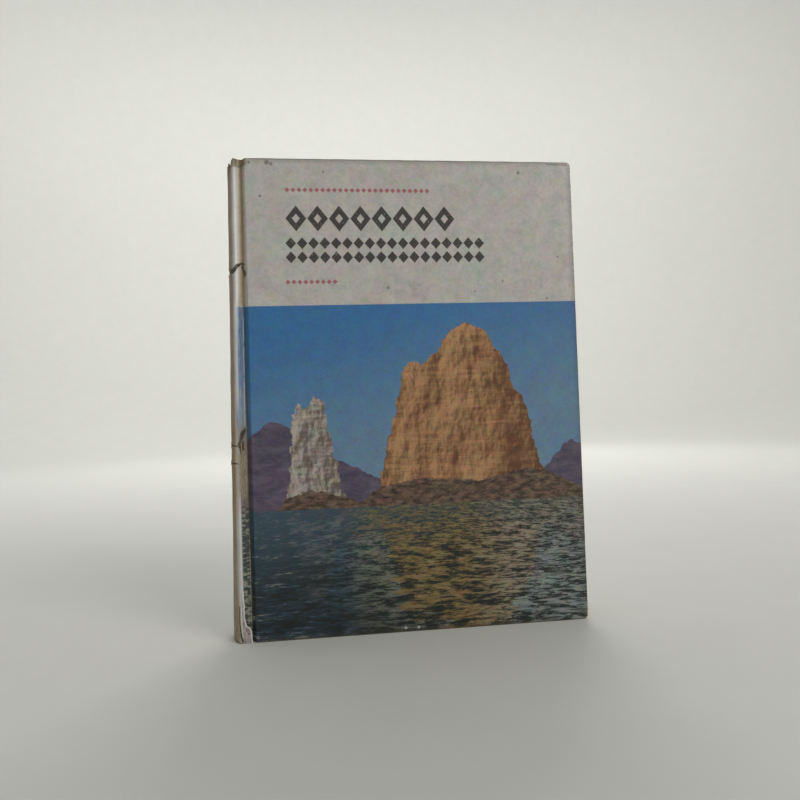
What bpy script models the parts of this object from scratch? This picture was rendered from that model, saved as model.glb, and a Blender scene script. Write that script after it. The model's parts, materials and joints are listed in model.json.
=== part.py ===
"""A case-bound hardback book with a rounded spine, standing on its tail edge.

+X runs from the spine to the fore-edge, +Y from the front cover to the back cover, +Z up to the head.
The origin is below the middle of the closed book. Sizes are in metres.
"""

import math

import bmesh
import bpy

# Driving sizes of the closed book
COVER_HEIGHT = 0.200
COVER_WIDTH = 0.150
COVER_DEPTH = 0.020
BOARD_THICKNESS = 0.0022
SQUARE = 0.003

# Places along X: the spine's outermost line, the groove that the cover hinges in, and the board's edge
SPINE_X = -COVER_WIDTH / 2
FORE_X = COVER_WIDTH / 2
GROOVE_X = SPINE_X + 0.0072
BOARD_X = SPINE_X + 0.0090

# Gaps: between glued sheets, between loose pieces, and beside the hinge
GLUE_GAP = 0.0001
LOOSE_GAP = 0.0002
HINGE_GAP = 0.0003

# The hinge line lies just outside the cover's face, so that an open cover clears the spine's shoulder
HINGE_Y = COVER_DEPTH / 2 + HINGE_GAP

# The rounded back: every layer of the spine is an arc about one line, at its own radius
SPINE_RADIUS = 0.0138
SPINE_THICKNESS = 0.0010
HOLLOW = 0.00035
LINING_THICKNESS = 0.00035
ARC_X = SPINE_X + SPINE_RADIUS
LINING_RADIUS = SPINE_RADIUS - SPINE_THICKNESS - HOLLOW
BACK_RADIUS = LINING_RADIUS - LINING_THICKNESS - GLUE_GAP
SHOULDER_ANGLE = math.radians(44)
ARC_STEPS = 20

# Boards
CORNER_RADIUS = 0.0030
CORNER_STEPS = 5
BOARD_BEVEL = 0.0004

# Sheets inside the covers
PASTEDOWN_THICKNESS = 0.0002
FLYLEAF_THICKNESS = 0.00025
PASTEDOWN_Y = COVER_DEPTH / 2 - BOARD_THICKNESS - GLUE_GAP
FLYLEAF_Y = PASTEDOWN_Y - PASTEDOWN_THICKNESS - LOOSE_GAP

# The sewn block: equal sections, counted from the front
SECTIONS = 12
FREE_SECTIONS = 5
SECTION_GAP = 0.00015
BLOCK_HALF_DEPTH = FLYLEAF_Y - FLYLEAF_THICKNESS - SECTION_GAP
SECTION_PITCH = 2 * BLOCK_HALF_DEPTH / SECTIONS
SECTION_THICKNESS = SECTION_PITCH - SECTION_GAP
FOLD_STEPS = 4

# A leaf is free from here to its fore-edge, and held in the sewing from here to its fold
FREE_X = GROOVE_X + 0.0060
HELD_X = FREE_X - HINGE_GAP

# The joint strip's groove, as depths below the cover's face at its two ends and its bottom
JOINT_THICKNESS = 0.0005
JOINT_SHOULDER_X = SPINE_X + 0.0051
JOINT_SHOULDER_DEPTH = 0.0005
JOINT_GROOVE_DEPTH = 0.0017
JOINT_BOARD_DEPTH = 0.0006
JOINT_STEPS = 5

# Finishes: colour, roughness
FINISHES = {
    "printed_board": ((0.30, 0.29, 0.26), 0.32),
    "printed_paper": ((0.33, 0.31, 0.28), 0.32),
    "endpaper": ((0.62, 0.57, 0.46), 0.80),
    "leaf_paper": ((0.66, 0.58, 0.43), 0.85),
    "mull": ((0.50, 0.42, 0.28), 0.90),
}


def clear_scene():
    for item in list(bpy.data.objects):
        bpy.data.objects.remove(item)


def finish(name):
    """The Principled material of that name, made on first use."""
    found = bpy.data.materials.get(name)
    if found is not None:
        return found
    colour, roughness = FINISHES[name]
    made = bpy.data.materials.new(name)
    made.use_nodes = True
    shader = made.node_tree.nodes["Principled BSDF"]
    shader.inputs["Base Color"].default_value = (*colour, 1)
    shader.inputs["Roughness"].default_value = roughness
    shader.inputs["Metallic"].default_value = 0.0
    made.diffuse_color = (*colour, 1)
    return made


def hinge(name, side):
    """An empty on the hinge line of the cover on that side: -1 is the front, 1 the back."""
    empty = bpy.data.objects.new(name, None)
    empty.location = (GROOVE_X, side * HINGE_Y, 0)
    bpy.context.scene.collection.objects.link(empty)
    return empty


def add_object(name, mesh_builder, material, pivot=None):
    """Links the mesh as an object. Points are given in the book's frame, and stored about the pivot."""
    if pivot is not None:
        bmesh.ops.translate(mesh_builder, vec=-pivot.location, verts=mesh_builder.verts)
    bmesh.ops.recalc_face_normals(mesh_builder, faces=mesh_builder.faces)
    mesh = bpy.data.meshes.new(name)
    mesh_builder.to_mesh(mesh)
    mesh_builder.free()
    mesh.materials.append(finish(material))
    made = bpy.data.objects.new(name, mesh)
    made.parent = pivot
    bpy.context.scene.collection.objects.link(made)
    return made


def prism(outline, low_z, high_z):
    """A closed outline in X and Y, run upwards."""
    builder = bmesh.new()
    bottom = [builder.verts.new((x, y, low_z)) for x, y in outline]
    top = [builder.verts.new((x, y, high_z)) for x, y in outline]
    builder.faces.new(bottom)
    builder.faces.new(top)
    for i in range(len(outline)):
        j = (i + 1) % len(outline)
        builder.faces.new((bottom[i], bottom[j], top[j], top[i]))
    return builder


def slab(low, high):
    """A box between two corners."""
    outline = [(low[0], low[1]), (high[0], low[1]), (high[0], high[1]), (low[0], high[1])]
    return prism(outline, low[2], high[2])


def on_arc(radius, angle):
    """The point at an angle from straight out of the spine, on an arc of the rounded back."""
    return (ARC_X - radius * math.cos(angle), radius * math.sin(angle))


def arc_band(outer, inner, half_angle, round_ends):
    """The outline of a curved strip, as the spine's card and lining have."""
    angles = [half_angle * (2 * i / ARC_STEPS - 1) for i in range(ARC_STEPS + 1)]
    outline = [on_arc(outer, a) for a in angles]
    if round_ends:
        outline += end_cap(outer, inner, half_angle, 1)
    outline += [on_arc(inner, a) for a in reversed(angles)]
    if round_ends:
        outline += end_cap(outer, inner, half_angle, -1)
    return outline


def end_cap(outer, inner, half_angle, side):
    """The inner points of a half round that closes a curved strip, in the outline's order."""
    middle, half = (outer + inner) / 2, (outer - inner) / 2
    turns = [math.pi * (i + 1) / 4 for i in range(3)]
    points = []
    for turn in turns:
        swing = math.sin(turn) * half / middle
        points.append(on_arc(middle + side * half * math.cos(turn), side * (half_angle + swing)))
    return points


def back_x(y):
    """Where the sewn block's back lies at a place in its thickness."""
    return ARC_X - math.sqrt(BACK_RADIUS**2 - y**2)


LEAF_WIDTH = FORE_X - SQUARE - back_x(BLOCK_HALF_DEPTH)


def fore_x(y):
    """The fore-edge, which the rounding makes hollow because every leaf is as wide."""
    return back_x(y) + LEAF_WIDTH


def section_span(number):
    """The low and high Y of a section, counted from 1 at the front."""
    low = -BLOCK_HALF_DEPTH + (number - 1) * SECTION_PITCH + SECTION_GAP / 2
    return low, low + SECTION_THICKNESS


def fold_points(number):
    """The rounded fold of a section, from its low to its high Y."""
    low, high = section_span(number)
    middle, half = (low + high) / 2, (high - low) / 2
    points = []
    for i in range(FOLD_STEPS + 1):
        turn = math.pi * i / FOLD_STEPS - math.pi / 2
        depth = half * (1 - math.cos(turn))
        y = middle + half * math.sin(turn)
        points.append((back_x(middle) + depth, y))
    return points


def make_spine():
    low_z, high_z = 0.0, COVER_HEIGHT
    strip = arc_band(SPINE_RADIUS, SPINE_RADIUS - SPINE_THICKNESS, SHOULDER_ANGLE, True)
    add_object("spine_strip", prism(strip, low_z, high_z), "printed_paper")
    lining_angle = math.asin(BLOCK_HALF_DEPTH / LINING_RADIUS)
    lining = arc_band(LINING_RADIUS, LINING_RADIUS - LINING_THICKNESS, lining_angle, False)
    add_object("spine_lining", prism(lining, SQUARE, COVER_HEIGHT - SQUARE), "mull")


def make_joint(side, name):
    """The strip of covering paper pressed into the groove between the spine and a board."""
    board_end = BOARD_X - HINGE_GAP
    face = COVER_DEPTH / 2
    outer = []
    for i in range(JOINT_STEPS + 1):
        t = i / JOINT_STEPS
        dip = (1 + math.cos(math.pi * t)) / 2
        depth = JOINT_GROOVE_DEPTH + (JOINT_SHOULDER_DEPTH - JOINT_GROOVE_DEPTH) * dip
        outer.append((JOINT_SHOULDER_X + (GROOVE_X - JOINT_SHOULDER_X) * t, depth))
    for i in range(1, JOINT_STEPS + 1):
        t = i / JOINT_STEPS
        dip = (1 - math.cos(math.pi * t)) / 2
        depth = JOINT_GROOVE_DEPTH + (JOINT_BOARD_DEPTH - JOINT_GROOVE_DEPTH) * dip
        outer.append((GROOVE_X + (board_end - GROOVE_X) * t, depth))
    inner = [(x, depth + JOINT_THICKNESS) for x, depth in reversed(outer)]
    outline = [(x, side * (face - depth)) for x, depth in outer + inner]
    add_object(name, prism(outline, 0.0, COVER_HEIGHT), "printed_paper")


def board_outline():
    """The board seen from the front: square at the joint, rounded at the fore-edge."""
    points = [(BOARD_X, 0.0)]
    corners = (
        (COVER_HEIGHT - CORNER_RADIUS, 0.0),
        (CORNER_RADIUS, -math.pi / 2),
    )
    for centre_z, start in reversed(corners):
        for i in range(CORNER_STEPS + 1):
            turn = start + math.pi / 2 * i / CORNER_STEPS
            x = FORE_X - CORNER_RADIUS + CORNER_RADIUS * math.cos(turn)
            points.append((x, centre_z + CORNER_RADIUS * math.sin(turn)))
    points.append((BOARD_X, COVER_HEIGHT))
    return points


def make_board(side, name, pivot):
    outer_y = side * COVER_DEPTH / 2
    inner_y = side * (COVER_DEPTH / 2 - BOARD_THICKNESS)
    builder = bmesh.new()
    near = [builder.verts.new((x, outer_y, z)) for x, z in board_outline()]
    far = [builder.verts.new((x, inner_y, z)) for x, z in board_outline()]
    builder.faces.new(near)
    builder.faces.new(far)
    for i in range(len(near)):
        j = (i + 1) % len(near)
        builder.faces.new((near[i], near[j], far[j], far[i]))
    made = add_object(name, builder, "printed_board", pivot)
    bevel = made.modifiers.new("worn_edges", "BEVEL")
    bevel.width = BOARD_BEVEL
    bevel.segments = 2
    bevel.limit_method = "ANGLE"
    return made


def make_cover(side, word, pivot):
    """A board, the endpaper pasted inside it, and the endpaper's free leaf with its held fold."""
    make_board(side, word + "_board", pivot)
    low_z, high_z = SQUARE, COVER_HEIGHT - SQUARE
    near, far = PASTEDOWN_Y, PASTEDOWN_Y - PASTEDOWN_THICKNESS
    low, high = sorted((side * near, side * far))
    edge = BOARD_X + BOARD_BEVEL
    sheet = slab((edge, low, low_z), (FORE_X - SQUARE, high, high_z))
    add_object(word + "_pastedown", sheet, "endpaper", pivot)
    low, high = sorted((side * FLYLEAF_Y, side * (FLYLEAF_Y - FLYLEAF_THICKNESS)))
    sheet = slab((FREE_X, low, low_z), (FORE_X - SQUARE, high, high_z))
    add_object(word + "_flyleaf", sheet, "endpaper", pivot)
    sheet = slab((back_x(BLOCK_HALF_DEPTH), low, low_z), (HELD_X, high, high_z))
    add_object(word + "_endpaper_fold", sheet, "endpaper")


def make_free_section(number, pivot):
    """The part of a section that turns: from just past the sewing to the fore-edge."""
    low, high = section_span(number)
    outline = [(FREE_X, low), (fore_x(low), low), (fore_x(high), high), (FREE_X, high)]
    builder = prism(outline, SQUARE, COVER_HEIGHT - SQUARE)
    add_object(f"section_{number:02d}", builder, "leaf_paper", pivot)


def make_fixed_section(number):
    """A middle section, which stays upright in the sewing."""
    low, high = section_span(number)
    outline = fold_points(number)
    outline += [(fore_x(high), high), (fore_x(low), low)]
    builder = prism(outline, SQUARE, COVER_HEIGHT - SQUARE)
    add_object(f"section_{number:02d}", builder, "leaf_paper")


def make_sewn_folds(name, numbers):
    """The held folds of several sections, sewn and glued into one scalloped body."""
    outline = []
    for number in numbers:
        outline += fold_points(number)
    outline += [(HELD_X, outline[-1][1]), (HELD_X, outline[0][1])]
    add_object(name, prism(outline, SQUARE, COVER_HEIGHT - SQUARE), "leaf_paper")


def main():
    clear_scene()
    make_spine()
    first_fixed, last_fixed = FREE_SECTIONS + 1, SECTIONS - FREE_SECTIONS
    for side, word in ((-1, "front"), (1, "back")):
        pivot = hinge(word + "_hinge", side)
        make_joint(side, word + "_joint")
        make_cover(side, word, pivot)
        numbers = range(1, first_fixed) if side < 0 else range(last_fixed + 1, SECTIONS + 1)
        make_sewn_folds(word + "_sewn_folds", numbers)
        for number in numbers:
            make_free_section(number, pivot)
    for number in range(first_fixed, last_fixed + 1):
        make_fixed_section(number)


main()
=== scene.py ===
"""The looks of a worn hardcover book that stands on its tail edge.

Lengths whose names end in MM are in millimetres, as are places on the printed sheet.
All other lengths are in metres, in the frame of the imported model.
"""

import json
import math

import bpy
import numpy as np
from mathutils import Matrix, Vector

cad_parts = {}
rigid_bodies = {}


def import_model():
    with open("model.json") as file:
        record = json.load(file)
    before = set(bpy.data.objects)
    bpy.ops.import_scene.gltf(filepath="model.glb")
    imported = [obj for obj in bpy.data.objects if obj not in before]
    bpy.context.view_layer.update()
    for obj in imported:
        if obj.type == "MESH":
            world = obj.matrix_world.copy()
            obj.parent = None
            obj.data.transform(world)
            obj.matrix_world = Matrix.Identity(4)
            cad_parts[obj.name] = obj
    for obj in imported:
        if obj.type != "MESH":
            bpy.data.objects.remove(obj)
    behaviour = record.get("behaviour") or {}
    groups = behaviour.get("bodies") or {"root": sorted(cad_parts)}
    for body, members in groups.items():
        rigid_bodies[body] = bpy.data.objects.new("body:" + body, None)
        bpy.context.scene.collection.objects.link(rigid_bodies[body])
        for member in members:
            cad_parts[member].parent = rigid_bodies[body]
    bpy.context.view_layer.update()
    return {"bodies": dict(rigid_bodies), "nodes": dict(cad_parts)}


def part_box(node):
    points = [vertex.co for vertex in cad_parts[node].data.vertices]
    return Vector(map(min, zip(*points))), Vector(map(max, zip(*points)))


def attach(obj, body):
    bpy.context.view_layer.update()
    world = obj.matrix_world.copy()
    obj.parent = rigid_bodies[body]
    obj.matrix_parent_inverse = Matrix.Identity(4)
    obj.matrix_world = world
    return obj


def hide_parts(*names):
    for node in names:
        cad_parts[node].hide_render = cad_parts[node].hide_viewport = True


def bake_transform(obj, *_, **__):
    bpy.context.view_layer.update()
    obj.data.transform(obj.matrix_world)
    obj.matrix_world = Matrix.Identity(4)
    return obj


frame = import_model()

MM = 0.001

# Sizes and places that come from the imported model
board_low, board_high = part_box("front_board")
strip_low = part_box("spine_strip")[0]
lining_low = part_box("spine_lining")[0]
sheet_low, sheet_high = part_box("front_pastedown")
flyleaf_low, flyleaf_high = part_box("front_flyleaf")
middle_low, middle_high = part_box("section_06")
first_low, first_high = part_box("section_01")
HEIGHT = board_high.z
FACE_Y = -board_low.y
INNER_Y = -board_high.y
BOARD_X = board_low.x
FORE_X = board_high.x
BOARD_THICKNESS = FACE_Y - INNER_Y
SQUARE = sheet_low.z
LEAF_HEAD = sheet_high.z
LEAF_WIDTH = middle_high.x - middle_low.x
SECTION_DEPTH = first_high.y - first_low.y
SECTION_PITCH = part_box("section_02")[0].y - first_low.y

# The rounded back's arcs share one centre line
SPINE_RADIUS = 0.0138
ARC_X = strip_low.x + SPINE_RADIUS
LINING_RADIUS = ARC_X - lining_low.x
BACK_RADIUS = LINING_RADIUS - 0.00045

# The camera stands where the photograph was taken: a fit of the cover's corners gave these values
CAMERA_PLACE = (-0.03194, -0.26206, 0.09047)
CAMERA_LOOK = (0.11013, 0.99356, 0.02647)
CAMERA_UP = (0.03002, -0.02995, 0.9991)
FOCAL_PIXELS = 600
FRAME_PIXELS = 800
SENSOR_MM = 36

# Places on the printed sheet: across from the middle of the cover, and up from the tail
PICTURE_LEFT_HIGH_MM = -71.7
PICTURE_LEFT_LOW_MM = -70.85
PICTURE_TOP_MM = 138.05
PICTURE_SLOPE = 0.0045
BLEED_MM = 3.5
WATER_MM = 53.0
GROOVE_MM = -67.5

# The rows of ornament: the red ones' left, right and height, and the black ones' left, right, low and high
RED_ROWS = ((-49.9, 11.9, 186.6), (-50.5, -28.6, 147.7))
LARGE_ROW = (-49.8, 22.3, 168.8, 180.2)
SMALL_ROWS = (-50.1, 35.0, 155.4, 166.7)

# Where the covering is torn: lines of (along, across, half width) on the sheet, up it or across it
TEARS_ACROSS = (
    ((-82, 153.9, 0.4), (-79, 153.5, 0.7), (-76, 153.1, 0.8), (-72.9, 153.1, 0.95),
     (-70.5, 153.9, 1.05), (-69.4, 155.1, 0.6), (-68.8, 155.7, 0.34), (-67.9, 156.1, 0.3),
     (-67.15, 155.6, 0)),
    ((-79.5, 80.7, 0), (-77.8, 80.5, 0.45), (-75.5, 80.3, 0.15), (-71.9, 80.2, 0)),
    ((-78, 73.2, 0), (-76, 73, 0.22), (-73.6, 73.1, 0.05), (-71.5, 72.9, 0)),
)
TEARS_UP = (
    ((150.4, -67.2, 0), (151.7, -67.05, 0.55), (152.9, -67.4, 0.3), (154, -68, 0.28),
     (155.2, -67.95, 0.2), (156, -67.95, 0)),
    ((76.6, -70.2, 0), (79.1, -70.65, 0.38), (80.6, -70.95, 0.62), (82.4, -70.4, 0.58),
     (84, -69.9, 0.68), (85.2, -69.5, 0.7), (86.3, -69, 0.5), (87.5, -68.7, 0)),
    ((78.2, -69.32, 0), (80.3, -69.32, 0.16), (82.3, -69.34, 0)),
    ((0.6, -71.2, 0.14), (3.3, -71.75, 0.18), (8.2, -72.1, 0.16), (12, -72.05, 0.08), (15, -71.9, 0)),
)

# Where the film and print have peeled off: middle across and up, half width and half height
PEELED = ((-69.75, 67.9, 1.45, 8.2), (-75.3, 10, 2.6, 8.8), (-69.6, 79.8, 0.42, 3.2))

# Where a highlight is painted white along the ridge, up the book: middle across and half width, then how
# strongly
RIDGE_HIGHLIGHT_LINE = ((0, -71, 0.6), (52, -71, 0.6), (86, -71, 0.8), (101, -71.2, 1), (113, -71.15, 1),
          (125, -71.05, 1.2), (138, -70.9, 1.5), (144, -70.3, 1.8), (165, -70.1, 1.8), (187, -69.9, 1.6),
          (200, -69.8, 1.4))
RIDGE_HIGHLIGHT_STRENGTH = ((0, 0.35), (52, 0.45), (62, 0.1), (91, 0.25), (101, 0.85), (113, 1), (124, 0.85),
                   (144, 1), (187, 0.75), (194, 0.6), (200, 0))

# Single dark specks: across, up and radius
SPECKS = ((-59.8, 183.9, 0.55), (-33.5, 194.3, 0.45), (51.2, 194.9, 0.75), (62, 139.8, 0.5),
          (-7.5, 144.9, 0.6), (42.5, 147.5, 0.4), (67.7, 157.8, 0.4), (30, 143, 0.35),
          (-64.1, 198.1, 0.6), (-56.7, 198.1, 1), (-55.1, 197.5, 0.7), (73.2, 198.6, 0.35),
          (-77.5, 196, 2), (-79.5, 198.5, 1.6))

# Small chips down to white paper near the tail edge: across and up
CHIPS = ((-4.65, 1.8), (0.85, 1.7))


# Numbers for shapes

def lattice_noise(x, y, seed):
    """Smooth noise from 0 to 1 with one bump to each unit, the same each run."""
    table = np.random.default_rng(seed).random((64, 64))
    xi, yi = np.floor(x).astype(int), np.floor(y).astype(int)
    fx, fy = x - xi, y - yi
    fx, fy = fx * fx * (3 - 2 * fx), fy * fy * (3 - 2 * fy)
    xi, yi, xj, yj = xi % 64, yi % 64, (xi + 1) % 64, (yi + 1) % 64
    low = table[xi, yi] * (1 - fx) + table[xj, yi] * fx
    high = table[xi, yj] * (1 - fx) + table[xj, yj] * fx
    return low * (1 - fy) + high * fy


def ramp(value, low, high):
    """0 at low, 1 at high, and a smooth rise between them."""
    t = np.clip((value - low) / (high - low), 0, 1)
    return t * t * (3 - 2 * t)


def spaced(low, high, step):
    """Places from low to high, about a step apart."""
    return np.linspace(low, high, max(2, round((high - low) / step) + 1))


# Meshes

def grid_faces(rows, columns, start=0):
    """The quads between the points of a grid that is counted row by row."""
    i, j = np.meshgrid(np.arange(rows - 1), np.arange(columns - 1), indexing="ij")
    near = i * columns + j + start
    return np.stack([near, near + columns, near + columns + 1, near + 1], -1).reshape(-1, 4)


def rim_order(rows, columns):
    """The grid's outer points, in order round it."""
    index = np.arange(rows * columns).reshape(rows, columns)
    return np.concatenate([index[:-1, 0], index[-1, :-1], index[:0:-1, -1], index[0, :0:-1]])


def thin_solid(surface, thickness, turn=1):
    """The points and faces of a sheet behind a grid of surface points, closed round its rim."""
    normal = turn * np.cross(np.gradient(surface, axis=0), np.gradient(surface, axis=1))
    normal /= np.maximum(np.linalg.norm(normal, axis=-1, keepdims=True), 1e-12)
    depth = np.broadcast_to(thickness, surface.shape[:2])[..., None]
    rows, columns = surface.shape[:2]
    count = rows * columns
    points = np.concatenate([surface.reshape(-1, 3), (surface - normal * depth).reshape(-1, 3)])
    rim = rim_order(rows, columns)
    after = np.roll(rim, -1)
    faces = np.concatenate([
        grid_faces(rows, columns),
        grid_faces(rows, columns, count)[:, ::-1],
        np.stack([after, rim, rim + count, after + count], -1),
    ])
    return points, faces


def signed_volume(points, quads):
    """The volume inside quads that face outwards, and minus that if they face inwards."""
    a, b, c, d = (points[quads[:, k]] for k in range(4))
    return (np.cross(a, b) * c).sum() / 6 + (np.cross(a, c) * d).sum() / 6


def add_object(name, data):
    made = bpy.data.objects.new(name, data)
    bpy.context.scene.collection.objects.link(made)
    return made


def make_piece(name, points, quads, material, fields=None, cap=None, sharp_degrees=50):
    """A closed, smooth-shaded piece with named values at its points."""
    mesh = bpy.data.meshes.new(name)
    mesh.from_pydata(points.tolist(), [], quads.tolist() + ([] if cap is None else [cap.tolist()]))
    if signed_volume(points, quads) < 0:
        mesh.flip_normals()
    for field, values in (fields or {}).items():
        values = np.asarray(values, np.float32)
        many = values.ndim == 2
        attribute = mesh.attributes.new(field, "FLOAT_VECTOR" if many else "FLOAT", "POINT")
        attribute.data.foreach_set("vector" if many else "value", values.ravel())
    mesh.shade_smooth()
    mesh.set_sharp_from_angle(angle=math.radians(sharp_degrees))
    mesh.materials.append(material)
    piece = add_object(name, mesh)
    return piece


# Materials

def put(tree, socket, value):
    """Fills one input with a number, a colour or another node's value."""
    if isinstance(value, Value):
        tree.links.new(value.socket, socket)
    elif hasattr(value, "__len__") and len(socket.default_value) == 4:
        socket.default_value = (*value, 1)
    else:
        socket.default_value = value


def new_node(tree, kind, *inputs, output=0, **settings):
    """What a new node gives out. Its inputs are filled in order, and None leaves one as it is."""
    made = tree.nodes.new("ShaderNode" + kind)
    for setting, value in settings.items():
        setattr(made, setting, value)
    for socket, value in zip(made.inputs, inputs):
        if value is not None:
            put(tree, socket, value)
    return Value(tree, made.outputs[output])


def math_node(operation):
    """A method that adds a math node to a value."""
    return lambda self, *others: self.math(operation, *others)


class Value:
    """A number, colour or place that a node gives out. Arithmetic on it adds nodes."""

    __add__ = __radd__ = math_node("ADD")
    __sub__ = math_node("SUBTRACT")
    __mul__ = math_node("MULTIPLY")
    __truediv__ = math_node("DIVIDE")
    __abs__ = math_node("ABSOLUTE")
    least = math_node("MINIMUM")
    most = math_node("MAXIMUM")

    def __init__(self, tree, socket):
        self.tree = tree
        self.socket = socket

    def __rsub__(self, other):
        return self.node("Math", other, self, operation="SUBTRACT")

    def node(self, kind, *inputs, **settings):
        return new_node(self.tree, kind, *inputs, **settings)

    def math(self, operation, *others):
        return self.node("Math", self, *others, operation=operation)

    def step(self, low, high, start=0, end=1):
        """A smooth change from start to end as the value goes from low to high."""
        return self.node("MapRange", self, low, high, start, end, interpolation_type="SMOOTHSTEP")

    def inside(self, low, high, soft):
        """1 between low and high, 0 outside, with soft edges."""
        return self.step(low - soft, low + soft) * self.step(high - soft, high + soft, 1, 0)

    def curve(self, points):
        """What a line through (value, height) points gives at this value."""
        xs, ys = zip(*points)
        low, span, base, rise = xs[0], xs[-1] - xs[0], min(ys), (max(ys) - min(ys)) or 1
        height = self.node("FloatCurve", None, (self - low) * (1 / span))
        mapping = height.socket.node.mapping
        line = mapping.curves[0]
        while len(line.points) < len(points):
            line.points.new(0.5, 0.5)
        for point, (x, y) in zip(line.points, points):
            point.location = ((x - low) / span, (y - base) / rise)
            point.handle_type = "VECTOR"
        mapping.update()
        return height.math("MULTIPLY_ADD", rise, base)

    def parts(self):
        outputs = self.node("SeparateXYZ", self).socket.node.outputs
        return [Value(self.tree, socket) for socket in outputs]

    def stretch(self, x, y):
        return self.node("VectorMath", self, (x, y, 1), operation="MULTIPLY")

    def distance(self, x, y):
        return self.node("VectorMath", self, (x, y, 0), operation="DISTANCE", output="Value")

    def noise(self, scale, detail=2, roughness=0.5, distortion=0, output="Fac"):
        made = self.node("TexNoise", self, output=output)
        settings = {"Scale": scale, "Detail": detail, "Roughness": roughness, "Distortion": distortion}
        for name, value in settings.items():
            made.socket.node.inputs[name].default_value = value
        return made

    def mix(self, share, a, b, blend="MIX"):
        return self.node("Mix", share, *[None] * 5, a, b, output=2, data_type="RGBA", blend_type=blend)

    def between(self, a, b):
        """The colour a where this value is 0, and b where it is 1."""
        return self.mix(self, a, b)

    def toward(self, other, share, blend="MIX"):
        """This colour with a share of another one in it."""
        return self.mix(share, self, other, blend)

    def bump(self, distance, strength):
        """A surface's direction, with this value as its height."""
        made = self.node("Bump", strength, distance)
        put(self.tree, made.socket.node.inputs["Height"], self)
        return made


def place(x, y, z=0):
    return y.node("CombineXYZ", x, y, z)


def new_material(name):
    material = bpy.data.materials.new(name)
    material.use_nodes = True
    return material


def paper_start(name):
    """A new material, with the place on the sheet and the distance from its edge, which the meshes carry."""
    material = new_material(name)
    return (material, new_node(material.node_tree, "Attribute", attribute_name="Sheet", output="Vector"),
            new_node(material.node_tree, "Attribute", attribute_name="Edge", output="Fac"))


def finish_material(material, **inputs):
    """Sets the shader's inputs, named with _ for each space."""
    tree = material.node_tree
    for name, value in inputs.items():
        put(tree, tree.nodes["Principled BSDF"].inputs[name.replace("_", " ")], value)
    return material


# Torn places, worked out alike for the dents in a mesh and for the colours in a material

FAR_MM = 9.0


def line_height(value, points):
    """The height at a value of a line through (value, height) points."""
    return value.curve(points) if isinstance(value, Value) else np.interp(value, *zip(*points))


def tear_distance(x, z):
    """How far a place on the sheet lies outside the nearest tear, in millimetres."""
    nearest = FAR_MM
    for along, across, line in [(x, z, t) for t in TEARS_ACROSS] + [(z, x, t) for t in TEARS_UP]:
        middle = line_height(along, [(a, b) for a, b, _ in line])
        half = line_height(along, [(a, h) for a, _, h in line])
        low, high = line[0][0], line[-1][0]
        past = abs(along - (low + high) / 2) - (high - low) / 2
        beside = abs(across - middle) - half
        if isinstance(beside, Value):
            nearest = beside.most(past).least(nearest)
        else:
            nearest = np.minimum(np.maximum(beside, past), nearest)
    return nearest


# The printed picture: a coast of rocks, in the colours of a faded colour print

SKY_HIGH = (0.048, 0.185, 0.42)
SKY_LOW = (0.15, 0.265, 0.39)
HILL_DARK = (0.062, 0.054, 0.1)
HILL_LIGHT = (0.16, 0.125, 0.175)
CHALK_DARK = (0.15, 0.12, 0.105)
CHALK_LIGHT = (0.52, 0.465, 0.41)
OCHRE_DARK = (0.15, 0.062, 0.028)
OCHRE_LIGHT = (0.52, 0.285, 0.135)
SHORE_DARK = (0.024, 0.015, 0.012)
SHORE_LIGHT = (0.25, 0.16, 0.11)
CRACK_BROWN = (0.06, 0.03, 0.02)
SEA_DARK = (0.011, 0.017, 0.017)
SEA_BLUE = (0.04, 0.086, 0.122)
SEA_GOLD = (0.215, 0.175, 0.055)
SEA_SILVER = (0.31, 0.305, 0.24)

FAR_HILLS = ((-80, 77), (-70, 81), (-58, 90), (-50, 87), (-38, 76), (-24, 70), (-12, 64), (4, 61), (40, 60),
             (56, 64), (64, 73), (70, 78), (77, 75), (85, 74))
CHALK_ROCK = ((-80, 20), (-54, 20), (-52, 58), (-50.5, 76), (-49, 92), (-45.5, 97), (-43, 94), (-40.5, 100),
              (-36.5, 98), (-34, 84), (-32.5, 79), (-29, 60), (-27, 20), (85, 20))
OCHRE_ROCK = ((-80, 20), (-17, 20), (-14, 60), (-10, 78), (-6, 92), (-3.5, 108), (1, 114), (6, 111.5),
              (12, 117), (19, 127), (26, 129.5), (34, 126), (38, 117), (41, 115.5), (46, 101), (51, 92),
              (55, 72), (60, 61), (66, 20), (85, 20))
LOW_SHORE = ((-80, 40), (-60, 44), (-54, 57), (-42, 61), (-30, 58), (-22, 55), (-14, 61), (6, 64), (30, 62),
             (52, 67), (66, 62), (76, 56), (85, 54))

# Each range of land: its skyline, dark and light colour, raggedness, where its side turns away, and grain
LAND = (
    (FAR_HILLS, HILL_DARK, HILL_LIGHT, 0.5, None, 0.22),
    (CHALK_ROCK, CHALK_DARK, CHALK_LIGHT, 1, -36, 1.5),
    (OCHRE_ROCK, OCHRE_DARK, OCHRE_LIGHT, 1, 38, 1),
    (LOW_SHORE, SHORE_DARK, SHORE_LIGHT, 0.8, None, 0.5),
)


def slopes(spot, scale, reach):
    """How brightly rough ground is lit from the upper left, about 0."""
    beside = spot.node("VectorMath", spot, (-reach, 0.6 * reach, 0), operation="ADD")
    return spot.noise(scale, 3, 0.6) - beside.noise(scale, 3, 0.6)


def ragged(spot, scale, height):
    return (spot.noise(scale, 3, 0.65) - 0.5) * height


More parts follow.
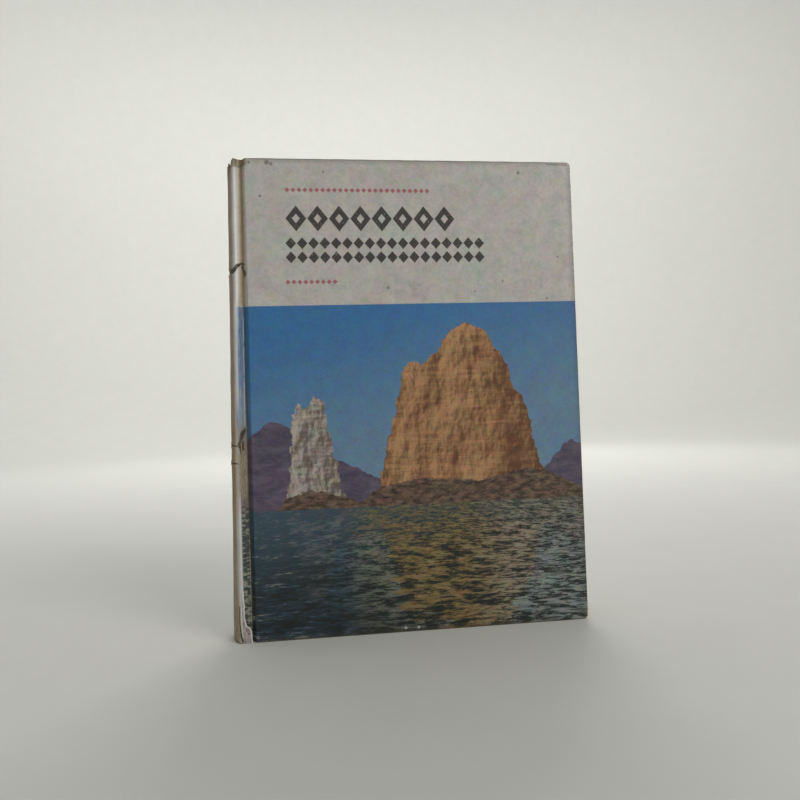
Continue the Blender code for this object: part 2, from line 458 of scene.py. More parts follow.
def rock_face(spot, dark, light, grain, turn_x):
    """A cliff's colour: lit facets, level layers, cracks, and a side turned from the light."""
    broad = slopes(spot.stretch(1, 0.42), 0.06 * grain, 2.6)
    facets = slopes(spot.stretch(1, 0.55), 0.21 * grain, 0.8)
    layers = spot.stretch(0.05, 1).noise(0.36 * grain, 3, 0.7, 0.4)
    away = (spot.parts()[0] + broad * 45).step(turn_x - 5, turn_x + 5, 0.06, -0.3)
    tone = broad * 2.6 + (facets * 2 + layers * 0.75)
    colour = (tone + away).step(-0.15, 0.85).between(dark, light)
    seam = abs(layers - 0.5).step(0.02, 0)
    cracks = spot.stretch(1, 0.2).noise(0.16 * grain, 4, 0.65, 0.6)
    slit = abs(cracks - 0.47).step(0.01, 0.001)
    return colour.toward(CRACK_BROWN, seam * 0.25 + slit * 0.55)


def coast(spot, plain=False):
    """The picture's sky, hills and rocks at a place above the water, in full or in plain colours."""
    x, z, _ = spot.parts()
    near_x = x + ragged(spot, 0.17, 6)
    colour = (z - x * 0.25).step(146, 70).between(SKY_HIGH, SKY_LOW)
    edge = ragged(spot, 0.36, 5)
    for skyline, dark, light, roughness, turn_x, grain in LAND:
        cover = (near_x.curve(skyline) + edge * roughness - z).step(-0.3, 0.3)
        if plain:
            ground = tuple(0.45 * a + 0.55 * b for a, b in zip(dark, light))
        elif turn_x is not None:
            ground = rock_face(spot, dark, light, grain, turn_x)
        else:
            stones = spot.stretch(0.45, 1).noise(grain, 5, 0.75)
            ground = stones.step(0.32, 0.72).between(dark, light)
        colour = colour.toward(ground, cover)
    return colour


def sea(x, z):
    """The picture's water: rippled, with the coast mirrored in it."""
    below = (WATER_MM - z).most(0)
    deep = below + 12
    water = place(x * 17 / deep, deep.math("LOGARITHM", 2.718) * 46)
    ripples = water.stretch(0.42, 1).noise(1.1, 5, 0.8, 0.4)
    swell = water.stretch(0.2, 0.3).noise(0.9, 3, 0.6)
    sway = ripples - 0.5
    spread = below * 0.5 + 2
    mirror_z = WATER_MM + 1 + (below * 1.15 + sway * (spread * 2.6))
    mirror_x = x + (swell - 0.5) * spread
    mirrored = coast(place(mirror_x, mirror_z), plain=True)
    sheen = x.step(18, 50).between(SEA_GOLD, SEA_SILVER)
    sheen = sheen.toward(SEA_BLUE, x.step(-18, -34))
    depth = (below + x * 0.25).step(-18, 26).between(SEA_BLUE, SEA_DARK)
    tone = sway + (swell - 0.5) * 0.55
    shine = tone.step(-0.06, 0.07) * (x - below).step(-80, -30, 0.3, 1)
    glint = tone.step(0.1, 0.16, 0, 0.85) * abs(x + 18).step(10, 50, 0.25, 1)
    return depth.toward(mirrored.toward(sheen, 0.7), shine).toward(SEA_SILVER, glint)


def picture(x, z):
    """The whole printed picture, at a place in millimetres."""
    return z.step(WATER_MM + 0.4, WATER_MM - 0.4).between(coast(place(x, z)), sea(x, z))


# The printed ornaments: rows of lozenges, in black and in red

def lozenges(x, z, low_x, high_x, low_z, high_z, count, fill):
    """A row of lozenges between two heights: 1 on the ink."""
    half_x = (high_x - low_x) / count / 2
    along = (x - low_x).math("PINGPONG", half_x)
    across = abs(z - (high_z + low_z) / 2)
    reach = (half_x - along) / half_x + across / ((high_z - low_z) / 2)
    return reach.step(fill + 0.03, fill - 0.03) * x.inside(low_x, high_x, 0.05)


def front_ornaments(x, z):
    """The black ink and the red ink of the upper band, as two masks."""
    large = lozenges(x, z, *LARGE_ROW, 8, 0.96)
    hollow = lozenges(x, z, *LARGE_ROW, 8, 0.36)
    left, right, low, high = SMALL_ROWS
    middle = (low + high) / 2
    small = lozenges(x, z, left, right, middle + 0.3, high, 18, 0.94)
    small = small.most(lozenges(x, z, left, right, low, middle - 0.3, 18, 0.94))
    red = 0
    for left, right, height in RED_ROWS:
        count = round((right - left) / 2.5)
        red = lozenges(x, z, left, right, height - 1.25, height + 1.25, count, 0.86).most(red)
    column = lozenges(z, x, 128, 184, -84.6, -79, 9, 0.8)
    return (large - hollow).most(small.most(column)), red


def back_ornaments(x, z):
    """Three black lozenges in the middle, and a thin red frame, as two masks."""
    outside = (abs(x - 4.5) - 61).most(abs(z - 100) - 90.5)
    return lozenges(x, z, -9, 18, 94, 106, 3, 0.85), abs(outside).step(0.5, 0.3)


PAPER = (0.575, 0.548, 0.53)
PAPER_AGED = (0.52, 0.475, 0.435)
PAPER_PINK = (0.57, 0.512, 0.508)
PAPER_GREEN = (0.53, 0.545, 0.508)
INK_BLACK = (0.04, 0.036, 0.037)
INK_RED = (0.43, 0.09, 0.11)
PAPER_WHITE_AND_HIGHLIGHT = (0.86, 0.84, 0.81)
RIDGE_HIGHLIGHT_WHITE = (0.93, 0.92, 0.91)
FIBRE = (0.44, 0.38, 0.285)
FIBRE_DARK = (0.215, 0.175, 0.12)
# Dark brown for dirt, also used for painted shade in the groove and along the head and tail edges
GRIME_AND_SHADE = (0.085, 0.068, 0.038)
HEAD_BROWN = (0.255, 0.195, 0.105)
TORN_SHADOW = (0.08, 0.068, 0.048)
SLIT = (0.016, 0.013, 0.009)
# The spine's darkening: soiling, and painted shade on its side turned from the light
SPINE_SOIL_AND_SHADE = (0.6, 0.48, 0.42)
SPINE_SOIL_AND_SHADE_LOW = (0.58, 0.48, 0.37)
SPINE_STAIN = (0.2, 0.145, 0.06)
GROOVE_DIRT_AND_SHADE_TINT = (0.64, 0.51, 0.27)
GROOVE_DIRT_AND_SHADE_BROWN = (0.23, 0.18, 0.11)
RIB_GREY = (0.35, 0.35, 0.29)
RIDGE_DARK = (0.07, 0.07, 0.055)
RIDGE_WARM = (0.95, 0.85, 0.72)
RIDGE_BROWN = (0.27, 0.24, 0.2)
TORN_PINK = (0.33, 0.265, 0.262)
TORN_PALE = (0.52, 0.455, 0.455)
PAGE_GREY = (0.12, 0.11, 0.1)
FOXING = (0.33, 0.2, 0.09)
MULL_GAP = (0.2, 0.13, 0.06)
MULL_THREAD = (0.52, 0.44, 0.31)
MULL_GLUE = (0.25, 0.17, 0.08)
FLOOR_DARK = (0.6, 0.6, 0.56)
FLOOR_PALE = (0.64, 0.64, 0.6)


def printed_sheet(x, z, sheet, front, coarse, fine):
    """The sheet as it was printed, with the paper's slow changes of colour."""
    blotch = sheet.noise(0.05, 3, 0.6)
    paper = coarse.step(0.4, 0.8).between(PAPER, PAPER_AGED)
    paper = paper.toward(PAPER_PINK, blotch.step(0.5, 0.7))
    paper = paper.toward(PAPER_GREEN, blotch.step(0.5, 0.32))
    tints = sheet.noise(0.16, 4, 1, output="Color")
    shades = sheet.noise(0.16, 4, 1)
    paper = paper.toward(tints.toward(shades, 0.5), 0.7, "OVERLAY")
    black, red = front_ornaments(x, z)
    back_black, back_red = back_ornaments(x, z)
    held = fine.step(0.26, 0.38)
    paper = paper.toward(INK_BLACK, front.between(back_black, black) * held * 0.95)
    paper = paper.toward(INK_RED, front.between(back_red, red) * held * 0.85)

    top = x * PICTURE_SLOPE + PICTURE_TOP_MM
    left = z.step(92, 80, PICTURE_LEFT_HIGH_MM, PICTURE_LEFT_LOW_MM)
    printed = z.inside(-BLEED_MM, top, 0.12) * x.inside(left, FORE_X / MM + BLEED_MM, 0.15)
    art = picture(x, z).toward(sheet.noise(3, 2, 0.6), 0.42, "OVERLAY")
    return paper.toward(art.toward(tints, 0.52, "OVERLAY"), printed * front)


def streak(x, z, middle_x, half, low_z, high_z, broken):
    """An upright broken line on the sheet, for a crack in the film."""
    return broken * (abs(x - middle_x).step(half + 0.12, half - 0.12) * z.inside(low_z, high_z, 3))


def peel_distance(x, z):
    """How far a place lies outside the nearest peeled patch."""
    peel = FAR_MM
    for middle_x, middle_z, half_x, half_z in PEELED:
        out_z = (abs(z - middle_z) - half_z) * 0.5
        peel = (abs(x - middle_x) - half_x).most(out_z).least(peel)
    return peel


def covering_material():
    """Printed paper under a glossy film, with foxing, rubbed edges, cracks and torn places."""
    material, sheet, edge = paper_start("covering")
    x, z, side = sheet.parts()
    flat = place(x, z)
    fine = sheet.noise(1.6, 3, 0.65)
    coarse = sheet.noise(0.11, 4, 0.6)
    rough = fine - 0.5
    front = side.step(0.6, 0.4)
    colour = printed_sheet(x, z, sheet, front, coarse, fine)

    # The ridge is rubbed, and low down its print is worn off in small level ribs
    strands = sheet.stretch(1, 0.1).noise(2.4, 3, 0.7)
    ridge = x.inside(-71, -68.2, 0.5) * z.step(50, 62) * z.step(113, 95, 0.5, 1)
    colour = colour.toward(PAPER_AGED, ridge * strands.step(0.3, 0.75, 0.15, 0.75))
    ribs = sheet.stretch(0.24, 0.95).noise(1, 2, 0.6, 0.3).step(0.47, 0.6)
    low_ridge = x.inside(-70.7, -67.9, 0.3) * z.step(60, 52)
    colour = colour.toward(RIDGE_DARK, low_ridge * 0.55).toward(RIB_GREY, ribs * (low_ridge * 0.8))

    # The spine is browner and darker, partly soiling and partly painted shade, with stains near its tail and
    # a painted highlight along the ridge
    spine = x.step(-71.5, -74.2)
    colour = colour.toward(z.step(160, 20).between(SPINE_SOIL_AND_SHADE, SPINE_SOIL_AND_SHADE_LOW), spine, "MULTIPLY")
    faded = z.inside(60, 88, 4) * x.step(-67.7, -68.3, 0, 0.7) * x.step(-71.6, -70.8)
    colour = colour.toward(RIDGE_BROWN, faded)
    warm = z.inside(54, 90, 5) * x.step(-67.6, -69, 0, 0.8)
    colour = colour.toward(RIDGE_WARM, warm, "MULTIPLY")
    stain = (z + coarse * 16).step(33, 19) * x.step(-71.4, -72.3)
    colour = colour.toward(SPINE_STAIN, stain * strands.step(0.3, 0.65, 0.75, 0.35))
    # A painted highlight: a white line along the ridge, standing in for the shine of the film
    from_highlight = abs(x - z.curve([(a, b) for a, b, _ in RIDGE_HIGHLIGHT_LINE]))
    rub = from_highlight.step(z.curve([(a, c) for a, _, c in RIDGE_HIGHLIGHT_LINE]), 0)
    rub = rub * (z.curve(RIDGE_HIGHLIGHT_STRENGTH) * side.step(0.5, 0.4))
    colour = colour.toward(RIDGE_HIGHLIGHT_WHITE, rub * strands.step(0.25, 0.55, 0.85, 1))

    # Dirt and painted shade in the groove: the groove and the slope beside it are painted darker
    groove_x = GROOVE_MM - z.inside(95, 160, 18) * 0.3
    groove_half = z.step(0, 150, 0.55, 0.95)
    groove_dirt_and_shade = abs(x - (groove_x + rough * 0.7)).step(groove_half, 0)
    beside = abs(x - (groove_x - 0.55)).step(groove_half * 2, 0) * z.step(137.5, 139.5, 0.35, 0.85)
    colour = colour.toward(colour.toward(GROOVE_DIRT_AND_SHADE_TINT, 1, "MULTIPLY"), beside)
    colour = colour.toward(z.step(137.5, 139.5).between(GRIME_AND_SHADE, GROOVE_DIRT_AND_SHADE_BROWN), groove_dirt_and_shade * 0.7)

    # Specks and smudges
    dark = sheet.noise(0.32, 3, 0.75).step(0.635, 0.7, 0, 0.26)
    dark = dark.most(fine.step(0.69, 0.77, 0, 0.3))
    colour = colour.toward(PAPER, fine.step(0.31, 0.23, 0, 0.16) * front)
    for speck_x, speck_z, radius in SPECKS:
        away = flat.distance(speck_x, speck_z) + rough * radius
        dark = dark.most(away.step(radius + 0.25, radius - 0.25, 0, 0.6))
    colour = colour.toward(GRIME_AND_SHADE, dark * front)
    smudge = sheet.noise(0.055, 5, 0.7, 0.6).step(0.54, 0.8)
    colour = colour.toward(GRIME_AND_SHADE, smudge * 0.2)

    # Rubbed edges, where the film and the print are gone and then the paper too
    wear = edge + rough * 1.3
    colour = colour.toward(GRIME_AND_SHADE, edge.step(3, 0, 0, 0.3))
    bare = wear.step(0.26, 0.06)
    board = (wear + coarse * 0.8).step(0.34, 0.12)
    colour = colour.toward(FIBRE, bare).toward(FIBRE_DARK, board * 0.8)
    # Darker brown along the head of the spine and the joint
    head = (z + rough * 3.5).step(195.9, 197.1) * (x + rough * 4).step(-64.4, -66)
    colour = colour.toward(fine.step(0.5, 0.6).between(HEAD_BROWN, GRIME_AND_SHADE), head * 0.85)
    notches = place(0, z, side).noise(0.8, 3, 0.7).step(0.5, 0.58)
    crease = abs(z - 198.75).step(0.3, 0.1) * x.inside(64, 73.5, 0.6)
    # The dark lines along the head and tail edges are painted: a painted contact shadow at the tail, partly
    # dirt and partly painted shade at the head
    rim = z.step(199.2, 199.7).most(z.step(0.75, 0.3))
    rim = rim.most(x.inside(74.45, 75.6, 0.25) * notches).most(crease * front)
    colour = colour.toward(GRIME_AND_SHADE, rim * 0.6)
    for chip_x, chip_z in CHIPS:
        chip = (flat.distance(chip_x, chip_z) + rough).step(0.65, 0.4, 0, 0.55)
        colour = colour.toward(PAPER_WHITE_AND_HIGHLIGHT, chip * front)

    # Cracks in the film, peeled patches and tears, with painted shadow in the tears' slits
    broken = strands.step(0.4, 0.52)
    cracks = streak(x + z * -0.01, z, -69.5, 0.2, 88, 136, strands.step(0.34, 0.46))
    cracks = cracks.most(streak(x, z, -67.95, 0.1, 5, 42, broken))
    cracks = cracks.most(streak(x, z, -69.9, 0.1, 89, 138, broken * 0.6))
    colour = colour.toward(PAPER, cracks * 0.7)
    back = side.step(0.4, 0.6, 0, FAR_MM)
    tear = tear_distance(x, z).most(back) + rough * 0.55
    skin = (peel_distance(x, z).most(back) + rough * 1.6).step(0.35, -0.35)
    lip = tear.step(0.55, 0.2)
    colour = colour.toward(strands.step(0.36, 0.6).between(FIBRE_DARK, FIBRE), skin)
    colour = colour.toward(FIBRE_DARK, lip * 0.35)
    # The slits are painted near black, as painted shadow inside the tears
    gap = tear.step(-0.05, -0.38).between(TORN_SHADOW, SLIT)
    colour = colour.toward(gap, tear.step(0.18, -0.04))

    worn = bare.most(skin).most(lip.most(groove_dirt_and_shade)).most(spine * 0.9)
    relief = sheet.noise(0.5, 3) + fine * 0.25
    return finish_material(
        material,
        Base_Color=colour,
        Roughness=(worn + coarse * 0.2).step(0, 1, 0.3, 0.85),
        Specular_IOR_Level=worn.step(0, 1, 0.45, 0.1),
        Normal=relief.bump(0.00012, 0.35),
    )


def torn_material():
    """The inside of torn paper: grey and pink fibres, dark smears near the tail, and a white painted
    highlight along its free edge.
    """
    material, sheet, edge = paper_start("torn_paper")
    x, z, _ = sheet.parts()
    fibres = sheet.stretch(1, 0.15).noise(3, 4, 0.7)
    colour = fibres.step(0.35, 0.65).between(TORN_PINK, TORN_PALE)
    smears = sheet.stretch(1, 0.22).noise(1.5, 2, 0.6).step(0.47, 0.56)
    smears = smears * x.inside(-70.1, -68.6, 0.25) * z.inside(3.5, 6, 0.4)
    colour = colour.toward(SLIT, smears * 0.9)
    # A painted highlight: the free edge is painted white, as if it caught the light
    edge_highlight = (edge + (fibres - 0.5) * 0.5).step(0.5, 0.25)
    return finish_material(
        material,
        Base_Color=colour.toward(PAPER_WHITE_AND_HIGHLIGHT, edge_highlight),
        Roughness=fibres.step(0.2, 0.8, 0.7, 0.9),
        Normal=fibres.bump(0.0001, 0.5),
    )


def rows_of_marks(x, z, leaf):
    """Faint grey bars of uneven length, in rows, where a page is printed."""
    row = (z - 22) / 4.4
    line = abs(row.math("FRACT") - 0.5).step(0.2, 0.14)
    bars = place(x * 0.42, row.math("FLOOR"), leaf * 7).noise(1, 1).step(0.4, 0.44)
    return line * bars * (x.inside(-50, 54, 0.2) * z.inside(22, 176, 0.1))


def turned_in(x, z, leaf):
    """1 on the pasted endpaper where the covering is turned in below it, and 0 elsewhere."""
    rim = (x - 61).most(abs(z - 100) - 86)
    return rim.step(-0.5, 0.5) * leaf.step(0.3, 0.25)


def paper_material(name, fresh, aged, printed):
    """Uncoated paper, browner near its edges, with faint fibres and foxing."""
    material, sheet, edge = paper_start(name)
    x, z, leaf = sheet.parts()
    toning = (edge + (sheet.noise(0.1, 4, 0.6) - 0.5) * 6).step(9, 0)
    colour = (toning * 0.6).between(fresh, aged)
    spots = sheet.noise(0.45, 3, 0.6).step(0.68, 0.76)
    colour = colour.toward(FOXING, spots * 0.35)
    shade = leaf.node("CombineXYZ", leaf, 0, 0).noise(7.3, 0)
    colour = colour.toward(aged, shade * 0.2)
    relief = sheet.noise(2.2, 4, 0.7)
    if printed:
        colour = colour.toward(PAGE_GREY, rows_of_marks(x, z, leaf) * 0.5)
        normal = relief.bump(0.00005, 0.3)
    else:
        raised = turned_in(x, z, leaf)
        colour = colour.toward(aged, raised * 0.12)
        normal = (relief * 0.3 + raised).bump(0.00015, 0.8)
    return finish_material(
        material,
        Base_Color=colour,
        Roughness=relief.step(0.2, 0.8, 0.78, 0.92),
        Normal=normal,
    )


def mull_material():
    """Open-weave cotton, stiff with brown glue."""
    material = new_material("mull")
    spot = new_node(material.node_tree, "TexCoord", output="Object")
    _, y, z = spot.parts()
    threads = abs((y * 3600).math("SINE")).most(abs((z * 3600).math("SINE")))
    glue = spot.noise(260, 4, 0.6)
    colour = threads.step(0.8, 0.95).between(MULL_GAP, MULL_THREAD)
    return finish_material(
        material,
        Base_Color=colour.toward(MULL_GLUE, glue.step(0.45, 0.7)),
        Roughness=glue.step(0.3, 0.7, 0.9, 0.55),
        Normal=threads.bump(0.0001, 0.6),
    )


def floor_material():
    material = new_material("studio_floor")
    grain = new_node(material.node_tree, "TexCoord", output="Object").noise(30, 3)
    return finish_material(material, Base_Color=grain.between(FLOOR_DARK, FLOOR_PALE), Roughness=0.7)


COVERING = covering_material()
TORN_PAPER = torn_material()
ENDPAPER = paper_material("endpaper", (0.64, 0.59, 0.48), (0.48, 0.38, 0.24), printed=False)
LEAF_PAPER = paper_material("leaf_paper", (0.68, 0.625, 0.51), (0.48, 0.37, 0.23), printed=True)
MULL = mull_material()


# What the meshes carry for the materials

def peel_depth(x_mm, z_mm):
    """1 within the peeled patches, and 0 outside them."""
    depth = np.zeros(np.shape(x_mm))
    for middle_x, middle_z, half_x, half_z in PEELED:
        out_x, out_z = np.abs(x_mm - middle_x) - half_x, np.abs(z_mm - middle_z) - half_z
        depth = np.maximum(depth, ramp(np.maximum(out_x, out_z), 0.3, -0.3))
    return depth


def sheet_fields(x_mm, z_mm, which, edge_mm):
    """What the materials read: the place on the sheet, its side or leaf, and how near its edges are."""
    return {"Sheet": np.stack([x_mm, z_mm, np.broadcast_to(which, np.shape(x_mm))], -1), "Edge": edge_mm}


# The covered boards

ARRIS = 0.5 * MM
INNER_ARRIS = 0.3 * MM
CORNER = 1.8 * MM
TURN_IN_SHOWN = 3.2 * MM


def draw_in(x, z, centre_x, centre_z, radius, turn_z):
    """Draws the places in one square fore-edge corner in to a round one."""
    u = np.maximum((x - centre_x) / radius, 0)
    v = np.maximum(turn_z * (z - centre_z) / radius, 0)
    inside = (u > 0) & (v > 0)
    scale = np.where(inside, np.maximum(u, v) / np.maximum(np.hypot(u, v), 1e-9), 1)
    new_x = np.where(inside, centre_x + (x - centre_x) * scale, x)
    new_z = np.where(inside, centre_z + (z - centre_z) * scale, z)
    return new_x, new_z


def board_relief(x_mm, z_mm, seed):
    """How far the covered face stands out of flat, in metres."""
    warp = lattice_noise(x_mm / 48, z_mm / 60, seed) - 0.5
    dents = lattice_noise(x_mm / 9, z_mm / 11, seed + 1) - 0.5
    ripple = lattice_noise(x_mm / 2.2, z_mm / 14, seed + 2) - 0.5
    relief = 0.16 * warp + 0.05 * dents + 0.1 * ripple * ramp(x_mm, -56, -64)
    relief = relief * ramp(x_mm, BOARD_X / MM + 0.4, BOARD_X / MM + 3)
    for corner_z in (0.0, HEIGHT / MM):
        away = np.hypot(x_mm - FORE_X / MM, z_mm - corner_z)
        relief = relief - 0.28 * ramp(away, 7.0, 1.0)
    return relief * MM


def board_profile():
    """Steps outwards and inwards from the rim of the flat face, over the edge to the inner face."""
    steps = [(ARRIS * math.sin(t), ARRIS * (1 - math.cos(t))) for t in np.radians((22.5, 45, 67.5, 90))]
    steps += [(ARRIS, BOARD_THICKNESS * 0.4), (ARRIS, BOARD_THICKNESS * 0.65)]
    for t in np.radians((0, 30, 60, 90)):
        steps.append((ARRIS - INNER_ARRIS * (1 - math.cos(t)),
                      BOARD_THICKNESS - INNER_ARRIS * (1 - math.sin(t))))
    steps += [(ARRIS - TURN_IN_SHOWN / 2, BOARD_THICKNESS), (ARRIS - TURN_IN_SHOWN, BOARD_THICKNESS)]
    return steps


def make_board(word, side, step, seed):
    """A board with its covering: a fine grid on the face, and rims over the edges to the inner face."""
    x, z = np.meshgrid(spaced(BOARD_X + ARRIS, FORE_X - ARRIS, step),
                       spaced(ARRIS, HEIGHT - ARRIS, step), indexing="ij")
    for centre_z, turn_z in ((CORNER, -1), (HEIGHT - CORNER, 1)):
        x, z = draw_in(x, z, FORE_X - CORNER, centre_z, CORNER - ARRIS, turn_z)
    rows, columns = x.shape
    rim = rim_order(rows, columns)
    relief = board_relief(x / MM, z / MM, seed).ravel()
    flat = np.stack([x.ravel(), z.ravel()], -1)
    loop = flat[rim]
    ahead = np.roll(loop, -1, 0) - np.roll(loop, 1, 0)
    outward = np.stack([-ahead[:, 1], ahead[:, 0]], -1)
    outward /= np.linalg.norm(outward, axis=1, keepdims=True)
    if ((loop - flat.mean(0)) * outward).sum() < 0:
        outward = -outward
    rub = 0.16 * MM * (lattice_noise(loop[:, 0] / MM / 4, loop[:, 1] / MM / 4, seed + 5) - 0.6)

    points = [np.stack([flat[:, 0], side * (FACE_Y + relief), flat[:, 1]], -1)]
    sheets = [flat]
    faces = [grid_faces(rows, columns)]
    edges = [np.minimum.reduce([FORE_X - flat[:, 0], flat[:, 1], HEIGHT - flat[:, 1]]) / MM]
    before, count, travelled = rim, len(flat), 0.0
    last_out, last_depth = 0.0, 0.0
    for out, depth in board_profile():
        travelled += math.hypot(out - last_out, depth - last_depth)
        last_out, last_depth = out, depth
        fade = max(0.0, 1 - depth / ARRIS)
        spot = loop + outward * (out + rub * min(1, depth / ARRIS))[:, None]
        if out < 0:
            inset = ARRIS - out
            spot = np.clip(loop, (BOARD_X + inset, inset), (FORE_X - inset, HEIGHT - inset))
        y = side * (FACE_Y + relief[rim] * fade - depth)
        points.append(np.stack([spot[:, 0], y, spot[:, 1]], -1))
        sheets.append(loop + outward * travelled)
        edges.append(np.full(len(rim), abs(travelled - ARRIS) / MM))
        now = np.arange(count, count + len(rim))
        faces.append(np.stack([before, np.roll(before, -1), np.roll(now, -1), now], -1))
        before, count = now, count + len(rim)
    sheet = np.concatenate(sheets) / MM
    points = np.concatenate(points)
    edge = np.concatenate(edges)
    for corner_z in (0.0, HEIGHT / MM):
        away = np.hypot(sheet[:, 0] - FORE_X / MM, sheet[:, 1] - corner_z)
        edge = edge - 0.35 * ramp(away, 7.0, 2.0)
    edge = np.where(points[:, 0] < BOARD_X + 1 * MM, FAR_MM, edge)
    fields = sheet_fields(sheet[:, 0], sheet[:, 1], side, edge)
    piece = make_piece(word + "_covered_board", points, np.concatenate(faces), COVERING,
                       fields, cap=before)
    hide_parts(word + "_board")
    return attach(piece, word + "_cover")


make_board("front", -1, 0.85 * MM, 11)
make_board("back", 1, 1.3 * MM, 31)


# The rounded spine, with the ridges that roll over into the grooves

SHOULDER_ANGLE = math.radians(44)
RIDGE_MM = ((-71.1, 9.62), (-70.75, 9.8), (-70.3, 9.8), (-69.85, 9.52), (-69.45, 9.05), (-69.15, 8.6))
RIDGE_THICKNESS = 0.3 * MM
CARD_SHOWN = 0.55 * MM

# The shown spine leans: it stands out below this height and draws in above it, by a share of the way
SPINE_LEAN = 0.0105
SPINE_LEAN_HEIGHT = 0.123
FRAY = 2.2 * MM


def smooth_line(points, count):
    """Places along a smooth curve through the points, by Catmull and Rom's rule."""
    points = np.asarray(points, float)
    padded = np.concatenate([[2 * points[0] - points[1]], points, [2 * points[-1] - points[-2]]])
    along = np.linspace(0, len(points) - 1, count)
    index = np.minimum(along.astype(int), len(points) - 2)
    t = (along - index)[:, None]
    a, b, c, d = (padded[index + k] for k in range(4))
    return 0.5 * (2 * b + (c - a) * t + (2 * a - 5 * b + 4 * c - d) * t**2 + (3 * b - a - 3 * c + d) * t**3)


def spine_profile():
    """The spine's outer line from the front groove round to the back one, as x and y."""
    ridge = smooth_line(RIDGE_MM, 16) * MM
    angles = np.linspace(-SHOULDER_ANGLE, SHOULDER_ANGLE, 58)
    arc = np.stack([ARC_X - SPINE_RADIUS * np.cos(angles), SPINE_RADIUS * np.sin(angles)], -1)
    front = ridge[::-1] * (1, -1)
    return np.concatenate([front[:-1], arc, ridge[1:]])


def spine_relief(x_mm, z_mm):
    """Wrinkles, dents and torn places of the spine, in metres."""
    wrinkles = lattice_noise(x_mm / 1.6, z_mm / 16, 71) - 0.5
    dents = lattice_noise(x_mm / 6, z_mm / 9, 72) - 0.5
    relief = 0.14 * wrinkles + 0.22 * dents
    tear = tear_distance(x_mm, z_mm)
    relief = relief - 0.38 * ramp(tear, 0.4, -0.1) + 0.2 * ramp(tear, 1.3, 0.7) * ramp(tear, 0.2, 0.6)
    relief = relief - 0.15 * peel_depth(x_mm, z_mm)
    return relief * MM


def rim_rounding(z, thickness):
    """How far a sheet's two faces draw together at its head and tail, as a share of the thickness."""
    radius = thickness / 2
    near = np.minimum(z, HEIGHT - z)
    return radius - np.sqrt(np.maximum(radius**2 - np.maximum(radius - near, 0) ** 2, 0))


def end_stations(step):
    """Heights from tail to head, close together at both ends."""
    tail = np.array([0.03, 0.1, 0.22, 0.36]) * MM
    return np.concatenate([tail, spaced(0.55 * MM, HEIGHT - 0.55 * MM, step), HEIGHT - tail[::-1]])


def spine_places(profile):
    """Where each profile point lies across the printed sheet, which lies flat on the ridge."""
    steps = np.linalg.norm(np.diff(profile, axis=0), axis=1)
    arc = np.concatenate([[0], np.cumsum(steps)])
    top = np.argmax(-profile[:len(profile) // 2, 1])
    return np.where(np.arange(len(profile)) <= top, profile[:, 0], profile[top, 0] - (arc - arc[top])) / MM


def spine_directions(profile):
    """Which way is out at each profile point, and how much of the lean it takes."""
    ahead = np.gradient(profile, axis=0)
    outward = np.stack([ahead[:, 1], -ahead[:, 0]], -1)
    outward /= np.linalg.norm(outward, axis=1, keepdims=True)
    outward *= np.sign(outward[len(profile) // 2] @ (-1, 0))
    return outward, ramp(profile[:, 0], RIDGE_MM[1][0] * MM, RIDGE_MM[0][0] * MM - 0.5 * MM)


def make_spine():
    profile = spine_profile()
    outward, arc_share = spine_directions(profile)
    sheet_x = spine_places(profile)
    z = end_stations(0.6 * MM)
    grid_x, grid_z = np.meshgrid(sheet_x, z / MM, indexing="ij")
    thickness = RIDGE_THICKNESS + (CARD_SHOWN - RIDGE_THICKNESS) * arc_share
    thickness = np.broadcast_to(thickness[:, None], grid_x.shape)
    drawn = np.minimum(rim_rounding(z[None, :], CARD_SHOWN), thickness * 0.48)
    lean = SPINE_LEAN * (SPINE_LEAN_HEIGHT - z)[None, :] * arc_share[:, None]
    out = spine_relief(grid_x, grid_z) + lean - drawn
    frayed = FRAY * lattice_noise(grid_x / 1.1, grid_z * 0, 75) ** 2
    frayed = frayed * ramp(grid_x, -64, -70) * ramp(grid_x, -84, -78)
    surface = np.stack([
        profile[:, None, 0] + outward[:, None, 0] * out,
        profile[:, None, 1] + outward[:, None, 1] * out,
        z[None, :] - frayed * ramp(grid_z, HEIGHT / MM - 9, HEIGHT / MM),
    ], -1)
    points, faces = thin_solid(surface, thickness - 2 * drawn, turn=-1)
    x_mm, z_mm = np.tile(grid_x.ravel(), 2), np.tile(grid_z.ravel(), 2)
    edge = np.minimum(z_mm, HEIGHT / MM - z_mm) + 0.3
    edge[grid_x.size:] = FAR_MM
    fields = sheet_fields(x_mm, z_mm, np.where(x_mm < -85, 1.0, 0.0), edge)
    piece = make_piece("spine_covering", points, faces, COVERING, fields)
    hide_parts("spine_strip")
    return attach(piece, "book_block")


make_spine()


# The flap of torn paper that curls off the tail of the spine

FLAP_STATIONS_MM = ((21.0, -71.3, -70.8, 0.02), (15.6, -71.4, -70.5, 0.22), (13.2, -71.4, -70.45, 0.3),
                    (9.5, -71.5, -70.2, 0.38), (8.2, -71.5, -69.95, 0.42), (6.9, -71.5, -69.5, 0.42),
                    (5.4, -71.4, -68.00, 0.34), (3.0, -71.2, -67.75, 0.3), (0.15, -71.0, -67.6, 0.28))
FLAP_PAPER = 0.22 * MM
OVER_GROOVE_MM = 9.45


